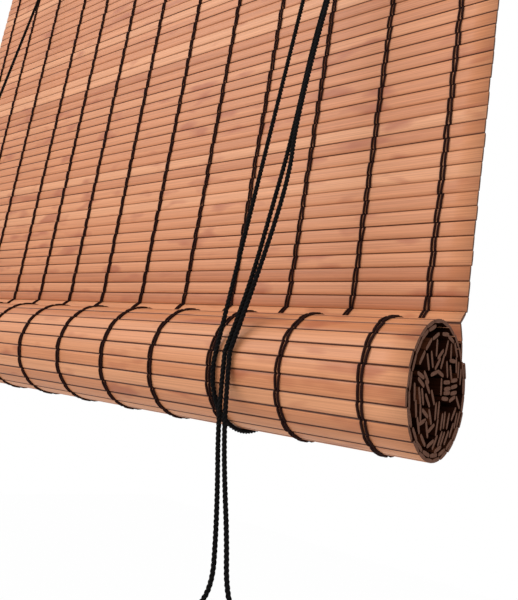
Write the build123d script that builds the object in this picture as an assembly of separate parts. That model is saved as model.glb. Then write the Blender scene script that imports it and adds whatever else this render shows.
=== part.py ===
from build123d import *
import os
from math import asin, atan2, cos, degrees, hypot, pi, radians, sin, tan

# Roll-up blind of split bamboo slats woven on pairs of threads. It hangs from a head rail, and two
# lift cords carry the part that is rolled up. Millimetres, +Z up, front towards -Y, width along X.
# The origin is the middle of the head's back face, which lies on the wall plane y = 0.

# Bamboo mat
blind_width = 600.0
slat_width = 8.05
slat_gap = 0.4
slat_thick = 2.0
slat_edge = 0.4              # chamfer along the long edges of a slat
hanging_slats = 47           # slats between the head rail and the bend above the roll
moving_slats = 28            # the lower ones of these, which are taken up as the roll rises
head_slats = 3               # slats clamped inside the head
grouped_slats = 4            # visible slats that share one piece with the clamped ones

# Thread columns
column_spacing = 46.4
column_steps = 6             # columns on each side of the middle one
thread_width = 0.9
thread_thick = 0.35
thread_pair = 1.7            # distance between the two threads of a column
thread_end = 0.6             # the straight threads stop this far above the bend
stray_columns = {-3: 4.6, 0: -1.8, 1: -0.8, 3: -0.7}   # columns that were woven out of line

# Head
rail_height = 32.0
back_depth = 10.0
rail_depth = 26.0
clamp_gap = 0.2              # free space on each side of the clamped slats
rail_round = 2.0
clamp_screws = 5
clamp_screw_inset = 40.0
clamp_screw_length = 30.0
screw_radius = 1.5
screw_head_radius = 3.0
screw_head_depth = 1.6
screw_tip = 3.0
screw_play = 0.05
screw_edge = 3.2             # distance of the clamp screws from the rail's top

# Hangers
hanger_spacing = 440.0
hanger_width = 22.0
hanger_plate = 2.0
hanger_height = 28.0         # the ear's height above the rail
hanger_foot = 30.0
hang_hole_radius = 2.75
hang_hole_height = 17.0
hanger_screw_length = 12.0
hanger_back_screw = 6.5      # distance of the screws from the wall plane
hanger_front_screw = 24.0
hanger_corner = 6.6
edge_margin = 0.01           # how far an edge may lie from where it is looked for

# Cords
cord_diameter = 2.6
cord_play = 0.3
lift_cord_x = 190.5
pull_cord_x = 223.0          # where the pull cords leave the lock
left_plane = 29.0            # depth of the left cord's plane in front of the wall
right_plane = 34.0

# Pulley wheels
wheel_groove = 5.8           # radius at the bottom of the groove
wheel_rim = 8.4
groove_play = 0.2
wheel_exit = 9.0             # straight stretch of cord below a wheel's centre
seam_play = 0.2              # between two stretches of cord that meet at an angle
wheel_thick = 4.2
wheel_drop = 21.0            # wheel centre below the rail
wheel_bore = 2.05
axle_radius = 2.0
axle_head_radius = 3.2
axle_head = 1.0
plate_thick = 1.5
housing_side_gap = 0.5
housing_floor = 9.5          # housing edge below the wheel centre
housing_margin = 11.0        # housing edge beside the wheel centre
housing_corner = 5.0
housing_screw_length = 11.0
housing_screw_step = 6.5

# Cord lock
cam_radius = 8.0
cam_bore = 1.55
cam_axle_radius = 1.5
cam_reach = 11.5             # pivot to tip
cam_teeth = 6
cam_tooth = 0.6              # radius of the notches between the teeth
cam_tooth_start = 150.0      # angle of the first notch, and the step to the next
cam_tooth_step = 10.0
cam_tip_width = 7.2
cam_tip_shift = 1.6
cam_pivot_rise = 5.0

# Rolled part
roll_radius = 33.9
roll_centre_front = 29.6     # roll axis in front of the mat's front face
roll_centre_drop = 44.3      # roll axis below the last straight slat
roll_start_angle = 32.0      # where the outer turn begins, above the back of the roll
turn_step = 2.5              # how far the second turn lies inside the first
step_from = 292.0            # angle along the outer turn where it starts to sink inwards
step_to = 350.0
spiral_end = 634.0           # where the turns end and the folded core begins
slat_angles = (8.0, 24.0)    # least and greatest angle that one slat of the turns can span
halvings = 40                # steps in which that angle is found
thread_joints = 24           # joints of the outer turn that the threads follow
web_thick = 0.6
web_bite = 0.5

# Folded core, from the roll's top to its bottom: height of the row, number of slats, distance between
# them, lean of the V folds in degrees, and how far the outer slats of the row fan out in degrees.
fold_rows = [
    (18.6, 6, 4.9, 15.0, 0.0),
    (8.6, 8, 5.2, 17.0, 4.0),
    (-1.6, 10, 4.7, 13.0, -3.0),
    (-11.9, 10, 3.9, 7.0, 6.0),
    (-22.0, 6, 4.4, 8.0, 14.0),
]
fold_sway = 3.0              # uneven lean of the folded slats, degrees
fold_lift = 0.35             # uneven height of the folded slats
sway_phase = 2.1             # how fast that lean and that height change from slat to slat
lift_phase = 1.7
# Slats that lie along the inside of the turns and lead from one row to the next: y and z of each end.
fold_links = [
    ((-1.5, 27.2), (6.6, 25.4)),
    ((-16.4, 21.6), (-22.0, 15.9)),
    ((24.0, 12.2), (26.9, 4.7)),
    ((-26.6, 1.6), (-26.4, -6.4)),
    ((25.3, -8.2), (21.9, -15.4)),
]

# Bend between the hanging mat and the roll: joints in front of the mat's middle and below its last slat
bend_joints = [(0.3, 0.6), (7.8, 7.1), (3.65, 16.05), (0.7, 24.9)]

# Pull cords
pull_start_drop = 5.0        # start of the free cord above the roll axis
pull_left_x = 197.5
pull_right_x = 200.9
coil_radius = 14.3           # middle of the turns
coil_layers = 3
coil_rows = 4
coil_x = 219.0
coil_z = -596.0
coil_joint = 0.3
coil_slack = 0.2
coil_edge = 0.8              # chamfer of the coil's outer shape
knot_radius = 3.4
knot_length = 8.0
tail_length = 16.0
tie_width = 7.0
tie_thick = 1.2
knot_bite = 0.6              # how far the tail goes into its knot
tie_play = 0.2
tie_bow = 0.8                # room inside the band for the coil's curve
arc_share = 0.45             # share of a straight run that the arc at its end takes

# Anchors of the lift cords
eye_wire = 1.1
eye_sides = 8
eye_radius = 3.6
eye_drop = 8.0
eye_shank = 9.0
eye_shank_radius = 0.9
anchor_knot_radius = 2.9

slat_pitch = slat_width + slat_gap
rail_bottom = -rail_height / 2
rail_top = rail_height / 2
mat_y = -(back_depth + clamp_gap + slat_thick / 2)
mat_front = mat_y - slat_thick / 2
rail_back = mat_front - clamp_gap
rail_front = rail_back - rail_depth
mat_bottom = rail_bottom - hanging_slats * slat_pitch
roll_y = mat_front - roll_centre_front
roll_z = mat_bottom - roll_centre_drop
outer_middle = roll_radius - slat_thick / 2
cord_radius = cord_diameter / 2
loop_radius = roll_radius + thread_thick + cord_play + cord_radius
wheel_z = rail_bottom - wheel_drop
cord_turn = wheel_groove + cord_radius + groove_play
exit_z = wheel_z - wheel_exit
left_wheel_x = -lift_cord_x + cord_turn
right_wheel_x = lift_cord_x + cord_turn
lock_wheel_x = pull_cord_x - cord_turn
lock_y = (left_plane + right_plane) / 2
lock_wheel_thick = right_plane - left_plane + wheel_thick
cam_pivot_x = pull_cord_x + cord_radius + cord_play + cam_radius
cam_pivot_z = wheel_z + cam_pivot_rise
back_leg_y = roll_y + loop_radius
eye_z = rail_bottom - eye_drop
coil_plane = roll_y - loop_radius
coil_band = coil_layers * cord_diameter + coil_slack
coil_depth = coil_rows * cord_diameter + coil_slack
coil_outer = coil_radius + coil_band / 2
pull_start_z = roll_z + pull_start_drop


def box_between(low, high):
    size = [b - a for a, b in zip(low, high)]
    middle = [(a + b) / 2 for a, b in zip(low, high)]
    return Pos(*middle) * Box(*size)


def rod(start, end, radius):
    """A round bar from one point to another."""
    line = Line(start, end)
    return sweep(Plane(line @ 0, z_dir=line % 0) * Circle(radius), path=line)


def column_places():
    steps = range(-column_steps, column_steps + 1)
    return [step * column_spacing + stray_columns.get(step, 0.0) for step in steps]


def make_slat():
    """One split bamboo slat, upright at the origin, with eased long edges."""
    profile = Rectangle(slat_thick, slat_width)
    profile = chamfer(profile.vertices(), slat_edge)
    return extrude(Plane.YZ * profile, blind_width / 2, both=True)


def laid_slat(blank, start, end):
    """The slat between two joints of the woven chain, given as (y, z)."""
    across, up = end[0] - start[0], end[1] - start[1]
    lean = degrees(atan2(-across, up))
    middle = ((start[0] + end[0]) / 2, (start[1] + end[1]) / 2)
    return Pos(0, middle[0], middle[1]) * Rot(lean, 0, 0) * blank


def slat_row_z(index):
    """Height of the middle of slat number index, counted down from the first below the rail."""
    return rail_bottom - (index + 0.5) * slat_pitch


def thread_ribs(top, bottom):
    """The threads of each column, in front of the slats and behind them."""
    ribs = []
    for x in column_places():
        for side in (-1, 1):
            rib_x = x + side * thread_pair / 2
            for face, out in ((mat_front, -thread_thick), (mat_y + slat_thick / 2, thread_thick)):
                y0, y1 = sorted((face, face + out))
                low = (rib_x - thread_width / 2, y0, bottom)
                ribs.append(box_between(low, (rib_x + thread_width / 2, y1, top)))
    return ribs


def offset_line(points, distance):
    """Points of a chain moved sideways by a distance, mitred at the joints."""
    moved = []
    for i, (y, z) in enumerate(points):
        before = points[max(i - 1, 0)]
        after = points[min(i + 1, len(points) - 1)]
        into = (y - before[0], z - before[1]) if i else (after[0] - y, after[1] - z)
        out = (after[0] - y, after[1] - z) if i < len(points) - 1 else into
        n1 = (into[1] / hypot(*into), -into[0] / hypot(*into))
        n2 = (out[1] / hypot(*out), -out[0] / hypot(*out))
        both = (n1[0] + n2[0], n1[1] + n2[1])
        share = 2 * distance / (both[0] ** 2 + both[1] ** 2)
        moved.append((y + both[0] * share, z + both[1] * share))
    return moved


def thread_band(points, near, far, x):
    """A thin band of thread that follows one face of a chain of slats at a column."""
    inner = offset_line(points, near)
    outer = offset_line(points, far)
    face = make_face(Polyline(*inner, *reversed(outer), close=True))
    width = thread_pair + thread_width
    return Pos(x, 0, 0) * extrude(Plane.YZ * face, width / 2, both=True)


def turn_radius(along):
    """Radius of the roll's turns at an angle along them: the outer turn sinks inwards at its end."""
    share = min(max((along - step_from) / (step_to - step_from), 0.0), 1.0)
    return outer_middle - turn_step * share


def turn_point(along):
    angle = radians(roll_start_angle - along)
    return turn_radius(along) * cos(angle), turn_radius(along) * sin(angle)


def turn_joints():
    """Joints of the roll's turns, one slat pitch apart, from the outer end inwards."""
    along = 0.0
    joints = [turn_point(along)]
    while along < spiral_end:
        low, high = along + slat_angles[0], along + slat_angles[1]
        for _ in range(halvings):
            middle = (low + high) / 2
            here = turn_point(middle)
            if hypot(here[0] - joints[-1][0], here[1] - joints[-1][1]) < slat_pitch:
                low = middle
            else:
                high = middle
        along = low
        joints.append(turn_point(along))
    return joints


def row_slats(row, from_back):
    """Ends of the slats of one folded row, in the order of the chain."""
    height, count, spacing, vee, fan = row
    ends = []
    for i in range(count):
        y = (i - (count - 1) / 2) * spacing * (-1 if from_back else 1)
        share = y / ((count - 1) / 2 * spacing)
        side = -1 if from_back else 1
        sway = fold_sway * sin(sway_phase * i + height)
        lean = radians(fan * share - side * vee * (1 if i % 2 == 0 else -1) + sway)
        half = slat_width / 2
        z = height + fold_lift * sin(lift_phase * i + height)
        top = (y + half * sin(lean), z + half * cos(lean))
        bottom = (y - half * sin(lean), z - half * cos(lean))
        ends.append((top, bottom) if i % 2 == 0 else (bottom, top))
    return ends


def roll_slats():
    """Both ends of every slat in the roll, from its outer end to the middle of the folded core."""
    joints = turn_joints()
    slats = []
    for start, end in zip(joints, joints[1:]):
        inset = slat_gap / 2 / hypot(end[0] - start[0], end[1] - start[1])
        step = ((end[0] - start[0]) * inset, (end[1] - start[1]) * inset)
        slats.append(((start[0] + step[0], start[1] + step[1]), (end[0] - step[0], end[1] - step[1])))
    for i, row in enumerate(fold_rows):
        slats.append(fold_links[i])
        slats += row_slats(row, from_back=i % 2 == 0)
    return slats


def flat_bar(start, end, thick, reach=0.0):
    """A flat bar drawn between two points of the roll's section."""
    across, up = end[0] - start[0], end[1] - start[1]
    length = hypot(across, up) + 2 * reach
    middle = ((start[0] + end[0]) / 2, (start[1] + end[1]) / 2)
    return Pos(*middle) * Rot(0, 0, degrees(atan2(up, across))) * Rectangle(length, thick)


def make_roll():
    """The rolled mat: two turns round a folded core, its slats joined by the woven threads."""
    slats = roll_slats()
    bars = [flat_bar(start, end, slat_thick) for start, end in slats]
    webs = [flat_bar(a[1], b[0], web_thick, web_bite) for a, b in zip(slats, slats[1:])]
    section = Sketch() + bars + webs
    solid = extrude(Plane.YZ * section, blind_width / 2, both=True)
    return Pos(0, roll_y, roll_z) * solid


def make_roll_threads():
    """The thread columns where they go round the outside of the roll."""
    joints = turn_joints()
    turn = joints[:thread_joints + 1]
    bands = [thread_band(turn, -slat_thick / 2, -slat_thick / 2 - thread_thick, x)
             for x in column_places()]
    return [Pos(0, roll_y, roll_z) * band for band in bands]


def wood_screw(length):
    """A countersunk screw, head up at the origin, pointing down."""
    with BuildSketch(Plane.XZ) as profile:
        with BuildLine():
            Polyline((0, 0), (screw_head_radius, 0), (screw_radius, -screw_head_depth),
                     (screw_radius, -length + screw_tip), (0, -length), close=True)
        make_face()
    return revolve(profile.sketch, Axis.Z)


def screw_hole(length):
    """The space that a countersunk screw needs, with a little play."""
    shank = Pos(0, 0, -length / 2) * Cylinder(screw_radius + screw_play, length + 2 * screw_play)
    depth = screw_head_depth + screw_play
    head = Cone(screw_radius + screw_play, screw_head_radius + screw_play, depth)
    return shank + Pos(0, 0, -depth / 2 + screw_play / 2) * head


def clamp_screw_places():
    half = blind_width / 2 - clamp_screw_inset
    z = rail_top - screw_edge
    xs = [-half + 2 * half * i / (clamp_screws - 1) for i in range(clamp_screws)]
    return [Pos(x, 0, z) * Rot(-90, 0, 0) for x in xs]


def hanger_screw_places():
    z = rail_top + hanger_plate
    places = []
    for side in (-1, 1):
        for depth in (hanger_back_screw, hanger_front_screw):
            places.append(Pos(side * hanger_spacing / 2, -depth, z))
    return places


def make_hanger(side):
    """A bent steel strip: its foot is screwed to the head, and its ear has the hole for the wall."""
    foot = box_between((-hanger_width / 2, -hanger_foot, rail_top),
                       (hanger_width / 2, 0, rail_top + hanger_plate))
    ear = box_between((-hanger_width / 2, -hanger_plate, rail_top),
                      (hanger_width / 2, 0, rail_top + hanger_height))
    strip = foot + ear
    inner = strip.edges().filter_by(Axis.X).filter_by_position(
        Axis.Y, -hanger_plate - edge_margin, -hanger_plate + edge_margin).sort_by(Axis.Z)[0:1]
    strip = fillet(inner, hanger_plate)
    strip = fillet(strip.edges().filter_by(Axis.Y).group_by(Axis.Z)[-1], hanger_corner)
    hole = Pos(0, -hanger_plate / 2, rail_top + hang_hole_height) * Rot(90, 0, 0) * Cylinder(
        hang_hole_radius, 2 * hanger_plate)
    strip = Pos(side * hanger_spacing / 2, 0, 0) * (strip - hole)
    for place in hanger_screw_places():
        strip = strip - place * screw_hole(hanger_screw_length)
    return strip


def housing_screw_places():
    z = rail_bottom - plate_thick
    lock_middle = (right_wheel_x + cam_pivot_x) / 2
    places = []
    for x in (left_wheel_x - housing_screw_step, left_wheel_x + housing_screw_step):
        places.append(Pos(x, -left_plane, z) * Rot(180, 0, 0))
    for x in (lock_middle - housing_screw_step, lock_middle + housing_screw_step):
        places.append(Pos(x, -lock_y, z) * Rot(180, 0, 0))
    return places


def make_rail():
    """The front rail, with its front edges rounded and the holes that hold the screws."""
    rail = box_between((-blind_width / 2, rail_front, rail_bottom), (blind_width / 2, rail_back, rail_top))
    front = rail.edges().filter_by(Axis.X).group_by(Axis.Y)[0]
    rail = fillet(front, rail_round)
    for place in clamp_screw_places():
        rail = rail - place * screw_hole(clamp_screw_length)
    for place in hanger_screw_places():
        rail = rail - place * screw_hole(hanger_screw_length)
    for place in housing_screw_places():
        rail = rail - place * screw_hole(housing_screw_length)
    return rail


def make_back_strip():
    """The strip that clamps the mat against the rail and lies on the wall."""
    strip = box_between((-blind_width / 2, -back_depth, rail_bottom), (blind_width / 2, 0, rail_top))
    for place in clamp_screw_places():
        strip = strip - place * screw_hole(clamp_screw_length)
    for place in hanger_screw_places():
        strip = strip - place * screw_hole(hanger_screw_length)
    for side in (-1, 1):
        hole = Cylinder(eye_shank_radius + screw_play, 2 * eye_shank)
        strip = strip - Pos(side * lift_cord_x, back_leg_y, rail_bottom) * hole
    return strip


def make_wheel(x, y, z, thick, grooves):
    """A turned pulley wheel, its axle along Y. The grooves have the shape of half an octagon."""
    slot = cord_radius + groove_play
    flat = slot * tan(pi / 8)
    outline = [(wheel_bore, -thick / 2), (wheel_rim, -thick / 2)]
    for groove in sorted(grooves):
        outline += [(wheel_rim, groove - slot), (cord_turn - flat, groove - slot),
                    (cord_turn - slot, groove - flat), (cord_turn - slot, groove + flat),
                    (cord_turn - flat, groove + slot), (wheel_rim, groove + slot)]
    outline += [(wheel_rim, thick / 2), (wheel_bore, thick / 2)]
    return Pos(x, y, z) * revolve(make_face(Polyline(*outline, close=True)), Axis.Y)


def make_axle(x, z, y_front, y_back, radius):
    """A riveted pin through both cheeks of a housing."""
    pin = rod((x, y_front, z), (x, y_back, z), radius)
    front = rod((x, y_front - axle_head, z), (x, y_front, z), axle_head_radius)
    back = rod((x, y_back, z), (x, y_back + axle_head, z), axle_head_radius)
    return pin + front + back


def make_housing(x_low, x_high, y_middle, inner, axles):
    """A folded steel channel that is open below and at both ends, with its axle and screw holes."""
    half = inner / 2 + plate_thick
    top = box_between((x_low, y_middle - half, rail_bottom - plate_thick),
                      (x_high, y_middle + half, rail_bottom))
    body = top
    for side in (-1, 1):
        y0, y1 = sorted((y_middle + side * inner / 2, y_middle + side * half))
        cheek = box_between((x_low, y0, wheel_z - housing_floor), (x_high, y1, rail_bottom))
        corners = cheek.edges().filter_by(Axis.Y).group_by(Axis.Z)[0]
        body = body + fillet(corners, housing_corner)
    for x, z, radius in axles:
        body = body - Pos(x, y_middle, z) * Rot(90, 0, 0) * Cylinder(radius, inner + 4 * plate_thick)
    for place in housing_screw_places():
        if x_low < place.position.X < x_high:
            body = body - place * screw_hole(housing_screw_length)
    return body


def make_cam():
    """The toothed cam that wedges the pull cords against the lock wheel."""
    disc = Rot(90, 0, 0) * Cylinder(cam_radius, lock_wheel_thick)
    tip = Pos(-cam_tip_shift, 0, -cam_reach / 2) * Box(cam_tip_width, lock_wheel_thick, cam_reach)
    body = disc + tip
    for i in range(cam_teeth):
        angle = radians(cam_tooth_start + cam_tooth_step * i)
        x, z = cam_radius * cos(angle), cam_radius * sin(angle)
        notch = Rot(90, 0, 0) * Cylinder(cam_tooth, 2 * lock_wheel_thick)
        body = body - Pos(x, 0, z) * notch
    body = body - Rot(90, 0, 0) * Cylinder(cam_bore, 2 * lock_wheel_thick)
    return Pos(cam_pivot_x, -lock_y, cam_pivot_z) * body


def cord_tube(path, name):
    """A plain round cord along a path, with its length printed beside its volume."""
    section = Plane(path @ 0, z_dir=path % 0) * Circle(cord_radius)
    tube = sweep(section, path=path)
    expected = pi * cord_radius ** 2 * path.length
    print(name, "length", round(path.length, 1), "volume ratio", round(tube.volume / expected, 4))
    return tube


def round_path(points, name):
    """Straight runs joined by arcs as large as the runs beside them allow."""
    vectors = [Vector(*p) for p in points]
    radii = []
    for before, here, after in zip(vectors, vectors[1:], vectors[2:]):
        turn = radians((here - before).get_angle(after - here))
        shorter = min((here - before).length, (after - here).length)
        radii.append(arc_share * shorter / tan(turn / 2))
    print(name, "arc radii", [round(r, 1) for r in radii])
    return FilletPolyline(*points, radius=radii)


def circle_point(angle):
    """A point of the lift cord's path round the roll, at an angle above the back of the roll."""
    return roll_y + loop_radius * cos(radians(angle)), roll_z + loop_radius * sin(radians(angle))


def front_angle(plane):
    """Where a cord that comes straight down from the head at a depth first touches the roll's circle."""
    across, up = -plane - roll_y, exit_z - roll_z
    return degrees(atan2(up, across)) + degrees(pi / 2 - asin(loop_radius / hypot(across, up)))


def make_front_leg(side, plane):
    y, z = circle_point(front_angle(plane))
    x = side * lift_cord_x
    return cord_tube(Line((x, -plane, exit_z - seam_play), (x, y, z)), "lift cord front")


def make_loop(side, plane):
    """The lift cord where it goes down the front of the roll, under it and up its back."""
    x = side * lift_cord_x
    start = front_angle(plane)
    points = [circle_point(a) for a in (start, (start + 360.0) / 2, 360.0)]
    arc = ThreePointArc(*[(x, y, z) for y, z in points])
    return cord_tube(arc, "lift cord loop")


def make_back_leg(side):
    x = side * lift_cord_x
    top = eye_z - eye_radius - 2 * anchor_knot_radius - eye_wire
    return cord_tube(Line((x, back_leg_y, roll_z), (x, back_leg_y, top)), "lift cord back")


def make_anchor_eye(side):
    """A screw eye under the back strip."""
    x = side * lift_cord_x
    ring = revolve(Pos(eye_radius, 0) * RegularPolygon(eye_wire, eye_sides), Axis.Y)
    ring = Pos(x, back_leg_y, eye_z) * ring
    shank = rod((x, back_leg_y, eye_z + eye_radius), (x, back_leg_y, rail_bottom + eye_shank),
                eye_shank_radius)
    return ring + shank


def make_anchor_knot(side):
    """The knot that holds the lift cord under its eye."""
    z = eye_z - eye_radius - eye_wire - anchor_knot_radius
    return Pos(side * lift_cord_x, back_leg_y, z) * Sphere(anchor_knot_radius)


def make_rail_cord(first_wheel_x, plane):
    """The cord over two wheels: up from the mat, along the rail and down from the lock."""
    y = -plane
    bow = cord_turn * sin(pi / 4)
    up = Line((first_wheel_x - cord_turn, y, exit_z), (first_wheel_x - cord_turn, y, wheel_z))
    left = ThreePointArc((first_wheel_x - cord_turn, y, wheel_z),
                         (first_wheel_x - bow, y, wheel_z + bow),
                         (first_wheel_x, y, wheel_z + cord_turn))
    run = Line((first_wheel_x, y, wheel_z + cord_turn), (lock_wheel_x, y, wheel_z + cord_turn))
    right = ThreePointArc((lock_wheel_x, y, wheel_z + cord_turn),
                          (lock_wheel_x + bow, y, wheel_z + bow),
                          (lock_wheel_x + cord_turn, y, wheel_z))
    down = Line((lock_wheel_x + cord_turn, y, wheel_z), (lock_wheel_x + cord_turn, y, exit_z))
    return cord_tube(Wire([up, left, run, right, down]), "rail cord")


# Routes of the free cords, from the roll's front down to the coil
left_route = [
    (pull_left_x, coil_plane, pull_start_z),
    (198.4, coil_plane - 0.3, -476.0),
    (201.4, coil_plane - 0.4, -497.0),
    (206.2, coil_plane - 0.2, -519.0),
    (210.6, coil_plane - 0.6, -542.0),
    (212.4, coil_plane - 2.6, -562.0),
    (207.6, coil_plane - 5.2, -578.0),
    (204.7, coil_plane - 5.4, -592.0),
]
right_route = [
    (pull_right_x, coil_plane, pull_start_z),
    (201.8, coil_plane + 0.2, -476.0),
    (205.8, coil_plane - 0.2, -497.0),
    (211.6, coil_plane + 0.1, -519.0),
    (218.4, coil_plane + 0.4, -542.0),
    (224.6, coil_plane + 2.4, -562.0),
    (230.6, coil_plane + 5.0, -577.0),
    (233.3, coil_plane + 5.4, -592.0),
]


def make_pull_upper(plane, x_end, name):
    """A pull cord from the lock to the front of the roll."""
    start = (pull_cord_x, -plane, exit_z - seam_play)
    line = Line(start, (x_end, coil_plane, pull_start_z + seam_play))
    return cord_tube(line, name)


def cut_at_coil(tube, y_middle):
    """The stretch of a free cord that lies outside its coil."""
    return tube - Pos(coil_x, y_middle, coil_z) * Rot(90, 0, 0) * Cylinder(
        coil_outer, coil_depth + 4 * cord_diameter)


def coil_y(side):
    return coil_plane + side * (coil_depth + coil_joint) / 2


def make_coil(side):
    """The outer shape of a small coil of cord, its axis along Y."""
    ring = Rectangle(coil_band, coil_depth)
    ring = chamfer(ring.vertices(), coil_edge)
    ring = revolve(Plane.XY * Pos(coil_radius, 0) * ring, Axis.Y)
    return Pos(coil_x, coil_y(side), coil_z) * ring


def make_knot(side):
    """The end of a pull cord: a short tail below the coil and the knot on it."""
    x = coil_x + side * (coil_outer + cord_radius + coil_joint)
    y = coil_y(side)
    tail = rod((x, y, coil_z), (x, y, coil_z - tail_length), cord_radius)
    knot = scale(Sphere(knot_radius), (1, 1, knot_length / 2 / knot_radius))
    return tail + Pos(x, y, coil_z - tail_length - knot_length / 2 + knot_bite) * knot


def make_tie():
    """The band that holds both coils together at their bottom."""
    depth = 2 * coil_depth + coil_joint + 2 * tie_play
    band = coil_band + 2 * tie_play
    outer = Box(tie_width, depth + 2 * tie_thick, band + 2 * tie_thick)
    inner = Box(2 * tie_width, depth, band + tie_bow)
    return Pos(coil_x, coil_plane, coil_z - coil_radius) * (outer - inner)


def save(name, shape):
    solids = shape if isinstance(shape, list) else [shape]
    shape = solids[0] if len(solids) == 1 else Compound(children=solids)
    export_step(shape, f"parts/{name}.step")


def main():
    os.makedirs("parts", exist_ok=True)
    blank = make_slat()

    save("head_rail", make_rail())
    save("back_strip", make_back_strip())
    save("clamp_screws", [p * wood_screw(clamp_screw_length) for p in clamp_screw_places()])
    for side, word in ((-1, "left"), (1, "right")):
        save("hanger_" + word, make_hanger(side))
    save("hanger_screws", [p * wood_screw(hanger_screw_length) for p in hanger_screw_places()])
    save("housing_screws", [p * wood_screw(housing_screw_length) for p in housing_screw_places()])

    held = [Pos(0, mat_y, slat_row_z(i)) * blank for i in range(-head_slats, grouped_slats)]
    save("head_slats", held)
    fixed_slats = hanging_slats - moving_slats
    for i in range(grouped_slats, fixed_slats):
        save(f"slat_{i - grouped_slats + 1:02d}", Pos(0, mat_y, slat_row_z(i)) * blank)
    save("lower_slats", [Pos(0, mat_y, slat_row_z(i)) * blank for i in range(fixed_slats, hanging_slats)])
    seam = rail_bottom - fixed_slats * slat_pitch
    save("threads_upper", thread_ribs(rail_bottom - clamp_gap, seam))
    save("threads_lower", thread_ribs(seam, mat_bottom + thread_end))

    joints = [(mat_y - front, mat_bottom - drop) for front, drop in bend_joints]
    save("bend_slats", [laid_slat(blank, a, b) for a, b in zip(joints, joints[1:])])
    save("threads_bend", [thread_band(joints, slat_thick / 2, slat_thick / 2 + thread_thick, x)
                          for x in column_places()])
    save("roll", make_roll())
    save("roll_threads", make_roll_threads())

    inner = wheel_thick + 2 * housing_side_gap
    lock_inner = lock_wheel_thick + 2 * housing_side_gap
    hole = axle_radius + screw_play
    left_axle = [(left_wheel_x, wheel_z, hole)]
    save("pulley_housing", make_housing(left_wheel_x - housing_margin, left_wheel_x + housing_margin,
                                        -left_plane, inner, left_axle))
    save("pulley_wheel", make_wheel(left_wheel_x, -left_plane, wheel_z, wheel_thick, [0.0]))
    half = inner / 2 + plate_thick
    save("pulley_axle", make_axle(left_wheel_x, wheel_z, -left_plane - half, -left_plane + half, axle_radius))
    lock_axles = [(right_wheel_x, wheel_z, hole), (lock_wheel_x, wheel_z, hole),
                  (cam_pivot_x, cam_pivot_z, cam_axle_radius + screw_play)]
    save("lock_housing", make_housing(right_wheel_x - housing_margin, cam_pivot_x + housing_margin,
                                      -lock_y, lock_inner, lock_axles))
    save("guide_wheel", make_wheel(right_wheel_x, -right_plane, wheel_z, wheel_thick, [0.0]))
    grooves = [lock_y - left_plane, lock_y - right_plane]
    save("lock_wheel", make_wheel(lock_wheel_x, -lock_y, wheel_z, lock_wheel_thick, grooves))
    half = lock_inner / 2 + plate_thick
    save("guide_axle", make_axle(right_wheel_x, wheel_z, -lock_y - half, -lock_y + half, axle_radius))
    save("lock_axle", make_axle(lock_wheel_x, wheel_z, -lock_y - half, -lock_y + half, axle_radius))
    save("cam_axle", make_axle(cam_pivot_x, cam_pivot_z, -lock_y - half, -lock_y + half, cam_axle_radius))
    save("lock_cam", make_cam())

    for side, word, plane in ((-1, "left", left_plane), (1, "right", right_plane)):
        save("lift_cord_front_" + word, make_front_leg(side, plane))
        save("lift_cord_loop_" + word, make_loop(side, plane))
        save("lift_cord_back_" + word, make_back_leg(side))
    save("anchor_eyes", [make_anchor_eye(side) for side in (-1, 1)])
    save("anchor_knots", [make_anchor_knot(side) for side in (-1, 1)])
    save("rail_cord_left", make_rail_cord(left_wheel_x, left_plane))
    save("rail_cord_right", make_rail_cord(right_wheel_x, right_plane))

    ends = ((-1, "left", left_plane, pull_left_x, left_route),
            (1, "right", right_plane, pull_right_x, right_route))
    for side, word, plane, x_end, route in ends:
        save("pull_cord_upper_" + word, make_pull_upper(plane, x_end, "pull cord upper " + word))
        tube = cord_tube(round_path(route, "pull cord " + word), "pull cord " + word)
        save("pull_cord_" + word, cut_at_coil(tube, coil_y(side)))
        save("pull_cord_coil_" + word, make_coil(side))
        save("pull_cord_knot_" + word, make_knot(side))
    save("coil_tie", make_tie())


main()
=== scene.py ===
import math
import random
import bpy
from mathutils import Matrix, Vector


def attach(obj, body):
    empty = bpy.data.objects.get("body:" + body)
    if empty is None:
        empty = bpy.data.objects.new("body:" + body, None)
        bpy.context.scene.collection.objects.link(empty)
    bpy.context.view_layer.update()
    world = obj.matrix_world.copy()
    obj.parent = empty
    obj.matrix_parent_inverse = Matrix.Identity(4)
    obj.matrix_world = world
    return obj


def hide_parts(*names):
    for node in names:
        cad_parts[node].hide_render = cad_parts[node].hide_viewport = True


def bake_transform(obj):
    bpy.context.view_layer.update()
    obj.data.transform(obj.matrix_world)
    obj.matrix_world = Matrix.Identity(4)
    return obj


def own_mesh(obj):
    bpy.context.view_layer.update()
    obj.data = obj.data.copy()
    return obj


# Roll-up bamboo blind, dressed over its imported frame. Metres, +Z up, front towards -Y.
# Settings of the cords' paths, slats, threads, bend and roll are in millimetres and degrees.

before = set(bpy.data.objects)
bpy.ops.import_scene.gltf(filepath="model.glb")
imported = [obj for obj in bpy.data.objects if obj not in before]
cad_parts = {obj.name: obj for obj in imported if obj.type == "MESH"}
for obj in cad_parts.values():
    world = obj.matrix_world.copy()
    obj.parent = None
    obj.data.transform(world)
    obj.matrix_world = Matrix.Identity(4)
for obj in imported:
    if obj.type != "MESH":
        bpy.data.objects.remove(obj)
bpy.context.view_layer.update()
mm = 0.001
print("frame loaded")

# Camera, at the photograph's viewing angle
cameraSettings = {
    "place": (0.41365, -0.32366, -0.4814),
    "right": (0.78557, 0.59782, 0.15964),
    "up": (-0.01549, -0.23892, 0.97092),
    "back": (0.61858, -0.76520, -0.17843),
    "lens": 37.02,
    "sensor": 36.0,
    "nearest": 0.01,
}


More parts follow.
